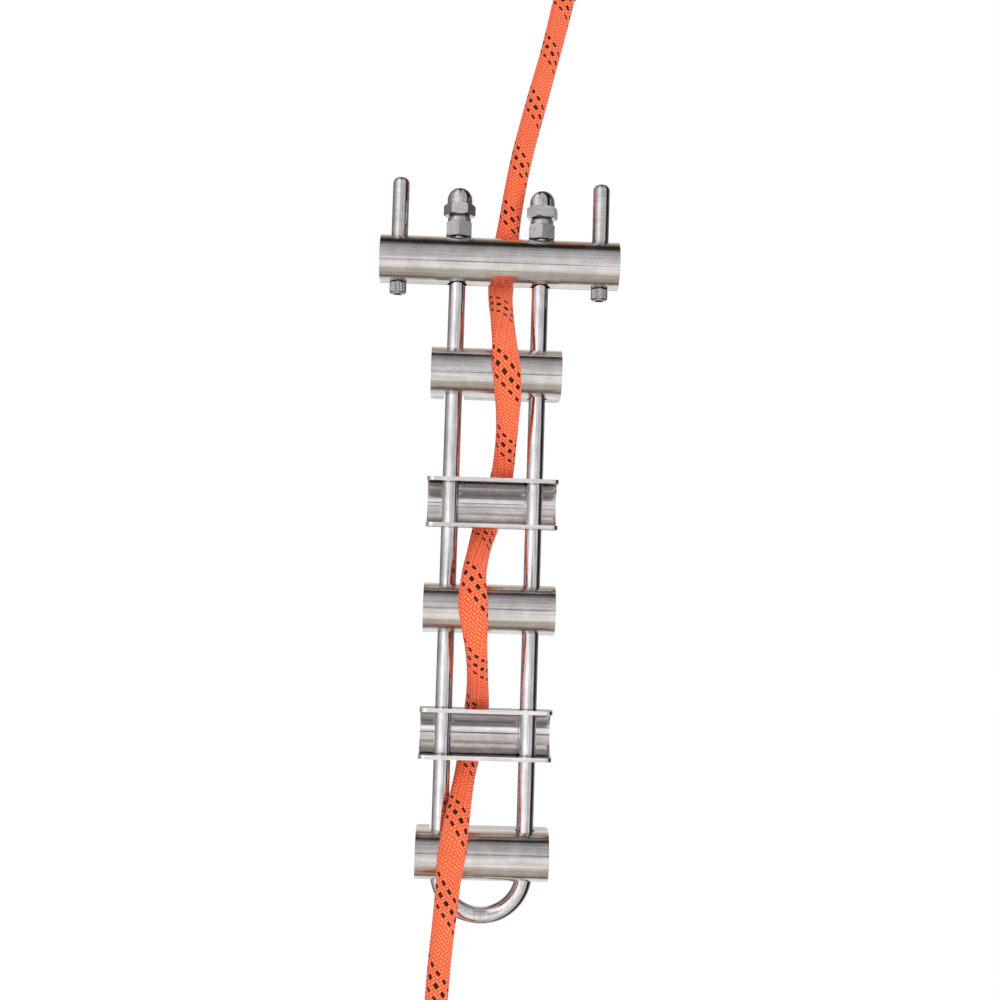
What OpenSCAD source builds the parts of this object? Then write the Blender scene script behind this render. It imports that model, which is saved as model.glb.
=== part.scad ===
// Rescue brake-bar rack with a U-shaped rod frame, threaded with a kernmantle rope.
// +Z runs up the two legs to their nuts, +X to the right, and -Y is the front.
// The origin is the centre of the U-bend, where a carabiner hangs in the eye.

/* [Frame] */
// Diameter of the bent rod
rod_d = 9.5; // [9:0.1:10]
// Distance between the centre lines of the two legs
leg_pitch = 47.6; // [46:0.2:60]
// Pitch of the screw thread on the legs
thread_pitch = 1.6; // [1.2:0.1:2]
// Depth of the screw thread
thread_depth = 0.8; // [0.4:0.05:0.9]

/* [Brake bars] */
// Height of brake bar 2 above the bend centre
bar_2_z = 281; // [270:1:290]
// Height of brake bar 3
bar_3_z = 206; // [198:1:214]
// Height of brake bar 4
bar_4_z = 146.5; // [140:0.5:154]
// Height of brake bar 5
bar_5_z = 77; // [70:1:84]
// Height of brake bar 6, which rests where the bend starts
bar_6_z = 9.5; // [9.5:0.5:20]
// Length of a brake bar
bar_len = 74; // [70:1:90]
// Height of a brake bar, which is also the diameter of its round crown
bar_h = 28; // [24:0.5:32]
// Depth of a brake bar from its crown to its flange edges
bar_depth = 28; // [26:0.5:34]
// Wall of a brake bar
bar_wall = 2.2; // [1.8:0.1:3]
// Depth from the crown to the leg holes
hole_depth = 15; // [14:0.5:17]
// Corner radius of the flanges at their free edges
bar_corner = 4; // [1:0.5:6]

/* [Hyper bar] */
// Height of the hyper bar's centre line
hyper_z = 345; // [340:1:360]
// Outer diameter of the hyper bar's tube
hyper_d = 27.5; // [25:0.5:30]
// Wall of the hyper bar's tube
hyper_wall = 2.8; // [2:0.1:3.5]
// Length of the hyper bar
hyper_len = 136.5; // [125:0.5:170]
// Distance from the end of the hyper bar to the middle of its tie-off pin
pin_inset = 10.5; // [9:0.5:14]

/* [Tie-off pins] */
// Diameter of a tie-off pin
pin_d = 9.5; // [9:0.1:11]
// Height that a pin stands above the hyper bar
pin_stand = 33.9; // [25:0.1:45]
// Diameter of a pin's foot, which goes down through the tube's wall
pin_foot_d = 8.7; // [8:0.1:8.9]
// Edge radius of a pin's domed top
pin_round = 3.6; // [2:0.1:4.4]
// Head diameter of the screw under a pin
screw_head_d = 9.6; // [9:0.1:11]
// Head height of that screw
screw_head_h = 6.4; // [5:0.1:8]
// Shank diameter of that screw
screw_d = 6.3; // [5:0.1:6.5]
// Width across the flats of the screw's hexagon socket
screw_socket = 4.8; // [4:0.1:5]
// Number of knurls around the screw head
screw_knurls = 32; // [24:2:40]

/* [Nuts] */
// Width across the flats of a lock nut
lock_flats = 14.4; // [13:0.1:16]
// Height of a lock nut's hexagon
lock_hex_h = 8.4; // [7:0.1:9]
// Height of the round collar that holds a lock nut's insert
lock_collar_h = 3.8; // [3:0.1:4.5]
// Diameter of that collar
lock_collar_d = 13.2; // [12.6:0.1:14]
// Width across the flats of an acorn nut
acorn_flats = 15.9; // [15:0.1:18]
// Height of an acorn nut's hexagon
acorn_hex_h = 6.5; // [5:0.1:8]
// Diameter of an acorn nut's dome
acorn_dome_d = 14.3; // [13.5:0.1:15.5]
// Height of an acorn nut's dome
acorn_dome_h = 10.1; // [8:0.1:12]

/* [Rope] */
// Diameter of the rope
rope_d = 12.5; // [11.5:0.1:12.5]
// Length of the sleeve that binds the rope's upper eye
sleeve_len = 46; // [40:1:50]
// Wall of that sleeve
sleeve_wall = 1.2; // [0.8:0.1:2]
// Diameter of the stopper knot at the rope's lower end
knot_d = 35; // [30:1:38]
// Height of the stopper knot
knot_h = 40; // [34:1:46]

/* [Clearances] */
// Play all round between a leg and the hole or slot of a bar
leg_play = 1; // [0.8:0.1:1.5]
// Gap left where the rope presses a bar against a leg, and where a bar meets a nut
seat_gap = 0.3; // [0.2:0.05:0.4]
// Play all round between a thread and its nut, and around a pin
fit_play = 0.05; // [0.02:0.01:0.1]
// Play around each strand inside the sleeve
sleeve_play = 0.7; // [0.6:0.1:0.9]

/* [Hidden] */
$fn = 64;
eps = 0.01;
leg_x = leg_pitch / 2;
leg_hole_d = rod_d + 2 * leg_play;

// A loaded rope pushes each bar sideways until its hole meets the legs: bars with the
// rope in front are pushed back, and bars with the rope behind are pushed forward.
pushed = leg_play - seat_gap;
BACK = 1;
FRONT = -1;
crown_r = bar_h / 2;

// The stack of nuts above the hyper bar
lock_z = hyper_z + hyper_d / 2 + seat_gap;
collar_z = lock_z + lock_hex_h;
acorn_z = collar_z + lock_collar_h;
acorn_wall = 2.2;
acorn_bore_h = acorn_hex_h + acorn_dome_h - acorn_wall;
rod_tip_gap = 0.5;
rod_top = acorn_z + acorn_bore_h - rod_tip_gap;
thread_len = 42;
thread_z = rod_top - thread_len;
nut_bore_d = rod_d + 2 * fit_play;
insert_h = 2.2;
insert_wall = 1.15;
insert_lip = 0.6;
LEFT = -1;
RIGHT = 1;
acorn_turn_right = 12;
corner_slope = 0.6;
collar_chamfer = 0.5;
collar_lip = 1.3;

// The tie-off pins and the screws that hold them from below
pin_x = hyper_len / 2 - pin_inset;
hyper_y = -pushed;
hyper_in_r = hyper_d / 2 - hyper_wall;
pin_top_z = hyper_z + hyper_d / 2 + pin_stand;
pin_shoulder_z = hyper_z + hyper_d / 2 + seat_gap;
pin_seat_z = hyper_z - sqrt(pow(hyper_in_r, 2) - pow(pin_foot_d / 2, 2)) + fit_play;
screw_head_z = hyper_z - hyper_d / 2 - screw_head_h - fit_play;
screw_grip = 16;
knurl_depth = 0.22;
socket_depth = 3.2;
head_foot = 1;
head_lip = 0.4;
past_knurls = 0.2;

// The rope's upper eye leans with the loaded rope
sleeve_base = [37, 46, 528];
sleeve_lean = [-10.8, 11.3, 0];
strand_gap = 13;

// The rope's lower end hangs straight into its stopper knot
knot_top = [-22.5, -35, -76];
knot_tail = 14;
knot_round = 9;

// Route of the rope's centre line: down from the end in the upper eye's sleeve, round
// the eye, behind the hyper bar, then in front of and behind the bars in turn.
ROUTE = [
    [39, 61.5, 539], [45.5, 67.5, 570], [48, 78.5, 584], [52, 91.5, 603.5],
    [56.5, 90.5, 625.5], [59.5, 74.5, 640.5], [58, 54, 632.5], [54, 45, 612],
    [49, 50, 589], [46, 54.5, 572.5], [37, 46, 528], [28.5, 38, 487],
    [20.5, 31, 453], [11, 24, 410], [5.5, 21, 373],
    [2.5, 20.3, 345], [1.5, 15.2, 331.3],
    [2.5, -0.5, 313],
    [4, -16.2, 294.8], [5.5, -21.3, 281], [6.5, -17.7, 269.2],
    [7, 0, 243.5],
    [5, 17.7, 217.8], [1, 21.3, 206], [-4, 15.3, 191.2],
    [-7.5, 0, 176],
    [-9, -15.3, 161.3], [-8.5, -21.3, 146.5], [-7.5, -17.3, 133.8],
    [-5.5, 0, 112],
    [-5, 17.3, 89.8], [-6, 21.3, 77], [-8.5, 16.8, 63.8],
    [-12.3, 0, 43],
    [-15.4, -17.2, 22.7], [-17, -21.8, 9.5],
    [-19, -25.7, -15], [-21.5, -31.5, -45], [-22.5, -35, -68], knot_top
];
ROPE_SIDES = 12;
RINGS_A_SPAN = 2;

// ---- Frame ----

// Half of a thread's outline: root and crest in turn, with a chamfered tip
function thread_outline(z0, z1, r) = concat(
    [[0, z0]],
    [for (z = [z0 : thread_pitch : z1 - 2 * thread_pitch]) each [
        [r - thread_depth, z],
        [r - thread_depth, z + thread_pitch * 0.15],
        [r, z + thread_pitch * 0.5],
        [r, z + thread_pitch * 0.6],
        [r - thread_depth, z + thread_pitch * 0.95]
    ]],
    [[r - thread_depth, z1 - thread_pitch / 2], [r - 2 * thread_depth, z1], [0, z1]]
);

module leg(side) {
    translate([side * leg_x, 0, 0]) {
        cylinder(d = rod_d, h = thread_z);
        rotate_extrude()
            polygon(thread_outline(thread_z, rod_top, rod_d / 2));
    }
}

module u_frame() {
    color("silver") union() {
        leg(LEFT);
        leg(RIGHT);
        rotate([90, 0, 0])
            rotate([0, 0, 180])
                rotate_extrude(angle = 180)
                    translate([leg_x, 0])
                        circle(d = rod_d);
    }
}

// ---- Bars ----

// Section of a brake bar across its length, with the crown's apex at (0, 0)
module channel_section() {
    difference() {
        union() {
            translate([crown_r, 0])
                circle(r = crown_r);
            translate([crown_r, -crown_r])
                square([bar_depth - crown_r, bar_h]);
        }
        translate([crown_r, 0])
            circle(r = crown_r - bar_wall);
        translate([crown_r, bar_wall - crown_r])
            square([bar_depth - crown_r + 1, bar_h - 2 * bar_wall]);
    }
}

// Plan of a brake bar: crown edge at y = 0, free edges with rounded corners
module bar_plan() {
    half = bar_len / 2;
    translate([-half, 0])
        square([bar_len, bar_depth - bar_corner]);
    translate([bar_corner - half, 0])
        square([bar_len - 2 * bar_corner, bar_depth]);
    for (side = [LEFT, RIGHT])
        translate([side * (half - bar_corner), bar_depth - bar_corner])
            circle(r = bar_corner);
}

// A brake bar with its crown at the front or the back. An opening bar has a slot at its
// left leg, from the hole out to the free edge, and a captive bar has two closed holes.
module brake_bar(z, crown, opening) {
    apex_y = -hole_depth;
    push_y = -crown * pushed;
    color("lightgray")
        translate([0, push_y, z])
            mirror([0, crown == BACK ? 1 : 0, 0])
                translate([0, apex_y, 0])
                    difference() {
                        intersection() {
                            rotate([90, 0, 90])
                                translate([0, 0, -bar_len / 2])
                                    linear_extrude(bar_len)
                                        channel_section();
                            translate([0, 0, -bar_h])
                                linear_extrude(2 * bar_h)
                                    bar_plan();
                        }
                        for (side = [LEFT, RIGHT])
                            translate([side * leg_x, hole_depth, -bar_h])
                                cylinder(d = leg_hole_d, h = 2 * bar_h);
                        if (opening)
                            translate([-leg_x - leg_hole_d / 2, hole_depth, -bar_h])
                                cube([leg_hole_d, bar_depth, 2 * bar_h]);
                    }
}

module hyper_bar() {
    color("silver") difference() {
        translate([-hyper_len / 2, hyper_y, hyper_z])
            rotate([0, 90, 0])
                difference() {
                    cylinder(d = hyper_d, h = hyper_len);
                    translate([0, 0, -1])
                        cylinder(r = hyper_in_r, h = hyper_len + 2);
                }
        for (side = [LEFT, RIGHT]) {
            translate([side * leg_x, hyper_y, hyper_z - hyper_d])
                cylinder(d = leg_hole_d, h = 2 * hyper_d);
            translate([side * pin_x, hyper_y, hyper_z])
                cylinder(d = pin_foot_d + 2 * fit_play, h = hyper_d);
            translate([side * pin_x, hyper_y, hyper_z - hyper_d])
                cylinder(d = screw_d + 2 * fit_play, h = hyper_d);
        }
    }
}

// ---- Tie-off pins ----

// Half of a pin's outline from its seat inside the tube: foot, shoulder, shaft and dome
module pin_outline() {
    r = pin_d / 2;
    top = pin_top_z - pin_seat_z;
    shoulder = pin_shoulder_z - pin_seat_z;
    square([pin_foot_d / 2, top - pin_round]);
    translate([0, shoulder])
        square([r, top - pin_round - shoulder]);
    square([r - pin_round, top]);
    intersection() {
        translate([r - pin_round, top - pin_round])
            circle(r = pin_round);
        square([r, top]);
    }
}

module tie_off_pin(side) {
    color("gainsboro")
        translate([side * pin_x, hyper_y, pin_seat_z])
            difference() {
                rotate_extrude()
                    pin_outline();
                translate([0, 0, -1])
                    cylinder(d = screw_d + 2 * fit_play, h = screw_grip + 2);
            }
}

module knurled_outline() {
    r = screw_head_d / 2;
    step = 360 / screw_knurls;
    polygon([for (k = [0 : screw_knurls - 1]) each [
        r * [cos(k * step), sin(k * step)],
        (r - knurl_depth) * [cos((k + 0.5) * step), sin((k + 0.5) * step)]
    ]]);
}

module pin_screw(side) {
    r = screw_head_d / 2;
    color("darkgray")
        translate([side * pin_x, hyper_y, screw_head_z])
            difference() {
                union() {
                    intersection() {
                        linear_extrude(screw_head_h)
                            knurled_outline();
                        rotate_extrude()
                            polygon([[0, 0], [r - head_foot, 0],
                                     [r + past_knurls, head_foot + past_knurls],
                                     [r + past_knurls, screw_head_h - head_lip - past_knurls],
                                     [r - head_lip, screw_head_h], [0, screw_head_h]]);
                    }
                    translate([0, 0, screw_head_h - eps])
                        cylinder(d = screw_d, h = pin_seat_z + screw_grip
                                                  - screw_head_z - screw_head_h);
                }
                translate([0, 0, -1])
                    cylinder(d = screw_socket / cos(30), h = socket_depth + 1, $fn = 6);
            }
}

// ---- Nuts ----

// A hexagon prism whose corners are turned off by a cone, below and above
module hexagon(flats, h) {
    corner_r = flats / 2 / cos(30);
    rise = (corner_r - flats / 2) * corner_slope;
    intersection() {
        cylinder(r = corner_r, h = h, $fn = 6);
        rotate_extrude()
            polygon([
                [0, 0], [flats / 2, 0], [corner_r, rise],
                [corner_r, h - rise], [flats / 2, h], [0, h]
            ]);
    }
}

module lock_nut(side) {
    r = lock_collar_d / 2;
    color("silver")
        translate([side * leg_x, 0, lock_z])
            difference() {
                union() {
                    rotate([0, 0, 30])
                        hexagon(lock_flats, lock_hex_h);
                    translate([0, 0, lock_hex_h - eps])
                        rotate_extrude()
                            polygon([[0, 0], [r, 0], [r, lock_collar_h * 0.6],
                                     [r - collar_chamfer, lock_collar_h * 0.85],
                                     [r - collar_lip, lock_collar_h], [0, lock_collar_h]]);
                }
                translate([0, 0, -1])
                    cylinder(d = nut_bore_d, h = lock_hex_h + lock_collar_h + 2);
                translate([0, 0, lock_hex_h + lock_collar_h - insert_lip - insert_h - fit_play])
                    cylinder(d = nut_bore_d + 2 * (insert_wall + fit_play),
                             h = insert_h + 2 * fit_play);
            }
}

module lock_nut_insert(side) {
    color("white")
        translate([side * leg_x, 0, acorn_z - insert_lip - insert_h])
            difference() {
                cylinder(d = nut_bore_d + 2 * insert_wall, h = insert_h);
                translate([0, 0, -1])
                    cylinder(d = nut_bore_d, h = insert_h + 2);
            }
}

module dome_outline() {
    r = acorn_dome_d / 2;
    square([r, acorn_dome_h - r]);
    intersection() {
        translate([0, acorn_dome_h - r])
            circle(r = r);
        square([r, acorn_dome_h]);
    }
}

module acorn_nut(side, turn) {
    color("silver")
        translate([side * leg_x, 0, acorn_z])
            difference() {
                union() {
                    rotate([0, 0, turn])
                        hexagon(acorn_flats, acorn_hex_h);
                    translate([0, 0, acorn_hex_h - eps])
                        rotate_extrude()
                            dome_outline();
                }
                translate([0, 0, -1])
                    cylinder(d = nut_bore_d, h = acorn_bore_h + 1);
            }
}

// ---- Rope ----

function unit(v) = v / norm(v);

// Direction of the route at one of its points: the chords on either side of it, each
// weighted by the other's length
function heading(p, i) =
    let (last = len(p) - 1)
    i == 0 ? unit(p[1] - p[0]) :
    i == last ? unit(p[last] - p[last - 1]) :
    let (a = p[i] - p[i - 1], b = p[i + 1] - p[i])
    unit(unit(a) * norm(b) + unit(b) * norm(a));

// A point at share t of span i: the cubic with those directions at both ends
function on_span(p, i, t) =
    let (s = norm(p[i + 1] - p[i]))
    (2 * t * t * t - 3 * t * t + 1) * p[i]
    + (t * t * t - 2 * t * t + t) * s * heading(p, i)
    + (3 * t * t - 2 * t * t * t) * p[i + 1]
    + (t * t * t - t * t) * s * heading(p, i + 1);

function smooth(p, n) = concat(
    [for (i = [0 : len(p) - 2], k = [0 : n - 1]) on_span(p, i, k / n)],
    [p[len(p) - 1]]
);

// One ring of the tube, square to the route
function ring(c, t, r, sides) =
    let (u = unit(cross(t, [1, 0, 0])), v = cross(t, u))
    [for (k = [0 : sides - 1])
        c + r * (cos((k + 0.5) * 360 / sides) * u + sin((k + 0.5) * 360 / sides) * v)];

module tube(p, d, sides) {
    n = len(p);
    points = [for (i = [0 : n - 1]) each ring(p[i], heading(p, i), d / 2, sides)];
    walls = [for (i = [0 : n - 2], k = [0 : sides - 1])
        let (a = i * sides + k, b = i * sides + (k + 1) % sides)
        each [[a, b, b + sides], [a, b + sides, a + sides]]];
    start = [for (k = [sides - 1 : -1 : 0]) k];
    end = [for (k = [0 : sides - 1]) (n - 1) * sides + k];
    polyhedron(points, concat(walls, [start, end]));
}

module rope() {
    color("orangered")
        tube(smooth(ROUTE, RINGS_A_SPAN), rope_d, ROPE_SIDES);
}

// Outline round two strands that lie side by side
module two_strands(r) {
    circle(r = r);
    translate([0, strand_gap])
        circle(r = r);
    translate([-r, 0])
        square([2 * r, strand_gap]);
}

module rope_eye_sleeve() {
    inner_r = rope_d / 2 + sleeve_play;
    color("dimgray")
        translate(sleeve_base)
            rotate(sleeve_lean)
                linear_extrude(sleeve_len)
                    difference() {
                        two_strands(inner_r + sleeve_wall);
                        two_strands(inner_r);
                    }
}

module knot_outline() {
    r = knot_d / 2;
    in_r = r - knot_round;
    square([in_r, knot_h]);
    translate([0, knot_round])
        square([r, knot_h - 2 * knot_round]);
    for (z = [knot_round, knot_h - knot_round])
        intersection() {
            translate([in_r, z])
                circle(r = knot_round);
            square([r, knot_h]);
        }
}

module rope_end_knot() {
    color("orangered")
        translate(knot_top - [0, 0, knot_h + seat_gap])
            union() {
                rotate_extrude()
                    knot_outline();
                translate([0, 0, -knot_tail])
                    cylinder(d = rope_d, h = knot_tail + 1);
            }
}

u_frame();
hyper_bar();
brake_bar(bar_2_z, FRONT, true);  // brake_bar_2
brake_bar(bar_3_z, BACK, false);  // brake_bar_3
brake_bar(bar_4_z, FRONT, true);  // brake_bar_4
brake_bar(bar_5_z, BACK, false);  // brake_bar_5
brake_bar(bar_6_z, FRONT, true);  // brake_bar_6
tie_off_pin(LEFT);  // tie_off_pin_left
tie_off_pin(RIGHT);  // tie_off_pin_right
pin_screw(LEFT);  // pin_screw_left
pin_screw(RIGHT);  // pin_screw_right
lock_nut(LEFT);  // lock_nut_left
lock_nut(RIGHT);  // lock_nut_right
lock_nut_insert(LEFT);  // lock_nut_insert_left
lock_nut_insert(RIGHT);  // lock_nut_insert_right
acorn_nut(LEFT, 0);  // acorn_nut_left
acorn_nut(RIGHT, acorn_turn_right);  // acorn_nut_right
rope();
rope_eye_sleeve();
rope_end_knot();
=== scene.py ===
"""Rescue brake bar rack with its rope: stage, rope, knot, sleeve and steel finishes."""

from math import cos, pi, radians, sin

import bpy
import numpy as np
from mathutils import Matrix


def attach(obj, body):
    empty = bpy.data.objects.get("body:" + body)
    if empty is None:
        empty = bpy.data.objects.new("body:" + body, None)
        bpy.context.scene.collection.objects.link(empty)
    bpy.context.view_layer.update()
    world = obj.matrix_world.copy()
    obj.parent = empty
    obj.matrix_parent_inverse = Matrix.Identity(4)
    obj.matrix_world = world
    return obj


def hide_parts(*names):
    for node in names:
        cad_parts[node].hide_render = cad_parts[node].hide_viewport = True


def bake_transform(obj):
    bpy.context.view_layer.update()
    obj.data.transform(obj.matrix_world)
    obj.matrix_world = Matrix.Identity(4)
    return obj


bl_info = {
    "name": "Brake Bar Rack",
    "version": (1, 0, 0),
    "blender": (4, 5, 0),
    "location": "3D View > Sidebar > Rack",
    "description": "Dresses a brake bar rack: braided rope, knot, sleeve and steel finishes",
    "category": "Object",
}

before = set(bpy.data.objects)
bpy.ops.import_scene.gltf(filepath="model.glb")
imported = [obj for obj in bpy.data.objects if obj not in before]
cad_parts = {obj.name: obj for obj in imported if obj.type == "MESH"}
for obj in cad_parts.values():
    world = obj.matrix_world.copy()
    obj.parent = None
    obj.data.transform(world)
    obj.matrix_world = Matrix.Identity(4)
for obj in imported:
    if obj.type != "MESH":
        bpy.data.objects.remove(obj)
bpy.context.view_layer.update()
MM = 0.001


# The rope's route in millimetres, from its end in the sleeve, round the eye, then down.
ROUTE = np.array([
    (39, 61.5, 539), (45.5, 67.5, 570), (48, 78.5, 584), (52, 91.5, 603.5),
    (56.5, 90.5, 625.5), (59.5, 74.5, 640.5), (58, 54, 632.5), (54, 45, 612),
    (49, 50, 589), (46, 54.5, 572.5), (37, 46, 528), (28.5, 38, 487),
    (20.5, 31, 453), (11, 24, 410), (5.5, 21, 373),
    (2.5, 20.3, 345), (1.5, 15.2, 331.3),
    (2.5, -0.5, 313),
    (4, -16.2, 294.8), (5.5, -21.3, 281), (6.5, -17.7, 269.2),
    (7, 0, 243.5),
    (5, 17.7, 217.8), (1, 21.3, 206), (-4, 15.3, 191.2),
    (-7.5, 0, 176),
    (-9, -15.3, 161.3), (-8.5, -21.3, 146.5), (-7.5, -17.3, 133.8),
    (-5.5, 0, 112),
    (-5, 17.3, 89.8), (-6, 21.3, 77), (-8.5, 16.8, 63.8),
    (-12.3, 0, 43),
    (-15.4, -17.2, 22.7), (-17, -21.8, 9.5),
    (-19, -25.7, -15), (-21.5, -31.5, -45), (-22.5, -35, -68), (-22.5, -35, -76),
]) * MM
SLEEVE_FOOT = 10  # the route point where the rope leaves the sleeve downwards
ROUTE_STEPS = 60  # curve points on each span between two points of the route

# Heights of the rope's contacts, each with the body it bears on and the side it passes:
# -1 for in front of the bar and 1 for behind it.
CONTACTS = [
    (0.345, "hyper_bar_body", 1), (0.281, "brake_bar_2_body", -1),
    (0.206, "brake_bar_3_body", 1), (0.1465, "brake_bar_4_body", -1),
    (0.077, "brake_bar_5_body", 1), (0.0095, "brake_bar_6_body", -1),
]
# Heights half way between neighbouring contacts, where a stretch of rope ends
GAPS = [0.313, 0.2435, 0.176, 0.112, 0.043]
LOAD_STILL = 0.400  # height of the seam above which the load strand stays still
BRAKE_STILL = -0.04  # height of the seam below which the brake strand stays still
NO_CONTACT = 9.0  # height given to the rings of the eye, which bear on no bar

# Heights where the tracer strands come round to the front, one helix turn apart
TRACER_TURNS = [
    0.5176, 0.4836, 0.4462, 0.4097, 0.3764, 0.346, 0.317, 0.2782, 0.242, 0.214,
    0.1891, 0.1607, 0.1194, 0.0893, 0.0601, 0.0313, -0.011, -0.0535,
]

# Height, half-width and sideways shift of the rope, which spreads where it is pressed
SPREAD = np.array([
    (-80, 6.2, 0), (-40, 6.2, 0), (-22, 6.3, 0), (-15, 6.5, 0), (-2, 6.6, 0), (9, 7.6, 0),
    (15, 7.9, 0), (24, 7.4, 0), (43, 6.3, 0), (52, 5.9, 0), (58, 6.1, 0), (77, 7.9, 0),
    (105, 6.0, 0), (117, 5.9, 0), (126, 6.2, 0), (135, 7.2, -0.2), (145, 8.2, -0.5),
    (152, 8.2, -0.6), (165, 6.9, -0.3), (180, 6.4, 0.2), (192, 7.3, 0.5), (206, 8.1, 0),
    (225, 6.4, -0.8), (236, 6.1, -0.4), (243, 6.1, 0), (255, 6.5, 0), (262, 7.1, 0),
    (268, 7.7, 0), (283, 7.8, 0), (300, 6.8, 0), (316, 6.7, 0), (330, 7.2, 0), (345, 8.0, 0),
    (376, 6.4, 0), (410, 6.3, 0), (450, 6.4, 0), (483, 6.1, 0), (517, 6.5, 0),
    (528, 6.25, 0),
]) * MM

KNOT_TOP = np.array((-22.5, -35, -76)) * MM  # where the rope enters its knot
SLEEVE_BASE = np.array((37, 46, 528)) * MM  # where the sleeve's axis starts
SLEEVE_LEAN = (-10.8, 11.3)  # degrees about X and then about Y


# ---------------------------------------------------------------- settings

class RACK_PG_stage(bpy.types.PropertyGroup):
    camera_place: bpy.props.FloatVectorProperty(
        name="Camera place", description="Where the camera stands", subtype="TRANSLATION",
        unit="LENGTH", precision=4, default=(-0.016, -0.8, 0.1544))
    yaw: bpy.props.FloatProperty(
        name="Yaw", description="Turn of the camera to the right", subtype="ANGLE",
        default=radians(1.461))
    pitch: bpy.props.FloatProperty(
        name="Pitch", description="Tilt of the camera upwards", subtype="ANGLE",
        default=radians(3.868))
    roll: bpy.props.FloatProperty(
        name="Roll", description="Roll of the camera", subtype="ANGLE",
        default=radians(1.726))
    lens: bpy.props.FloatProperty(
        name="Lens", description="Focal length on a 36 mm sensor", unit="CAMERA",
        default=50.77)
    floor_z: bpy.props.FloatProperty(
        name="Floor height", description="Height of the floor under the hanging rack",
        unit="LENGTH", default=-0.3)
    floor_colour: bpy.props.FloatVectorProperty(
        name="Floor colour", description="Colour of the pale floor", subtype="COLOR",
        min=0, max=1, default=(0.86, 0.86, 0.86))
    sky: bpy.props.FloatProperty(
        name="Sky level", description="Brightness of the soft light from all round",
        default=0.86)
    key_power: bpy.props.FloatProperty(
        name="Key power", description="Power of the large soft lamp", unit="POWER",
        default=4.45)


class RACK_PG_rope(bpy.types.PropertyGroup):
    diameter: bpy.props.FloatProperty(
        name="Diameter", description="Diameter of the rope", unit="LENGTH", precision=4,
        default=0.0125)
    strands: bpy.props.IntProperty(
        name="Strands each way", description="Sheath strands that run each way round",
        default=18)
    relief: bpy.props.FloatProperty(
        name="Relief", description="Height of the strands' weave", unit="LENGTH",
        precision=5, default=0.00012)
    sheath: bpy.props.FloatVectorProperty(
        name="Sheath", description="Colour of the sheath strands", subtype="COLOR",
        min=0, max=1, default=(0.95, 0.135, 0.045))
    # Painted highlight: the colour put on the strands' crests
    crest_highlight: bpy.props.FloatVectorProperty(
        name="Crests", description="Colour of the strands where they stand highest",
        subtype="COLOR", min=0, max=1, default=(1.0, 0.22, 0.10))
    # Painted shade: the colour put in the furrows between the strands
    furrow_shade: bpy.props.FloatVectorProperty(
        name="Furrows", description="Colour between the strands", subtype="COLOR",
        min=0, max=1, default=(0.40, 0.028, 0.008))
    tracer: bpy.props.FloatVectorProperty(
        name="Tracers", description="Colour of the tracer strands", subtype="COLOR",
        min=0, max=1, default=(0.009, 0.006, 0.003))
    sleeve: bpy.props.FloatVectorProperty(
        name="Sleeve", description="Colour of the eye's sleeve", subtype="COLOR",
        min=0, max=1, default=(0.018, 0.018, 0.02))


class RACK_PG_steel(bpy.types.PropertyGroup):
    bar: bpy.props.FloatVectorProperty(
        name="Bars", description="Colour of the bars' steel", subtype="COLOR",
        min=0, max=1, default=(0.76, 0.742, 0.737))
    rod: bpy.props.FloatVectorProperty(
        name="Rod", description="Colour of the bent rod's steel", subtype="COLOR",
        min=0, max=1, default=(0.84, 0.83, 0.84))
    pin: bpy.props.FloatVectorProperty(
        name="Pins", description="Colour of the pins' and screws' steel", subtype="COLOR",
        min=0, max=1, default=(0.70, 0.68, 0.67))
    nut: bpy.props.FloatVectorProperty(
        name="Nuts", description="Colour of the nuts' steel", subtype="COLOR",
        min=0, max=1, default=(0.76, 0.75, 0.76))
    nylon: bpy.props.FloatVectorProperty(
        name="Nylon", description="Colour of the lock nuts' inserts", subtype="COLOR",
        min=0, max=1, default=(0.80, 0.79, 0.74))
    wear: bpy.props.FloatProperty(
        name="Wear", description="How strongly the steel is streaked and blotched",
        subtype="FACTOR", min=0, max=1, default=0.5)


# ---------------------------------------------------------------- shader maths

class Value:
    """A number, colour or vector on a socket. Python's operators add Math nodes to it."""

    def __init__(self, paint, socket):
        self.paint, self.socket = paint, socket

    def maths(self, operation, *terms):
        return self.paint.node("ShaderNodeMath", {"operation": operation}, list(terms))

    def __add__(self, other):
        return self.maths("ADD", self, other)

    def __radd__(self, other):
        return self.maths("ADD", other, self)

    def __sub__(self, other):
        return self.maths("SUBTRACT", self, other)

    def __rsub__(self, other):
        return self.maths("SUBTRACT", other, self)

    def __mul__(self, other):
        return self.maths("MULTIPLY", self, other)

    def __truediv__(self, other):
        return self.maths("DIVIDE", self, other)

    def __mod__(self, other):
        return self.maths("FLOORED_MODULO", self, other)

    def __gt__(self, other):
        return self.maths("GREATER_THAN", self, other)

    def __lt__(self, other):
        return self.maths("LESS_THAN", self, other)

    def square(self):
        return self.maths("MULTIPLY", self, self)

    def floor(self):
        return self.maths("FLOOR", self)

    def cosine(self):
        return self.maths("COSINE", self)

    def exponent(self):
        return self.maths("EXPONENT", self)

    def most(self, other):
        return self.maths("MAXIMUM", self, other)

    def least(self, other):
        return self.maths("MINIMUM", self, other)

    def distance(self, other):
        return self.maths("ABSOLUTE", self - other)

    def rise(self, low, high):
        """0 below low, 1 above high and smooth between them."""
        return self.paint.node(
            "ShaderNodeMapRange", {"interpolation_type": "SMOOTHSTEP"},
            {"Value": self, "From Min": low, "From Max": high})


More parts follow.
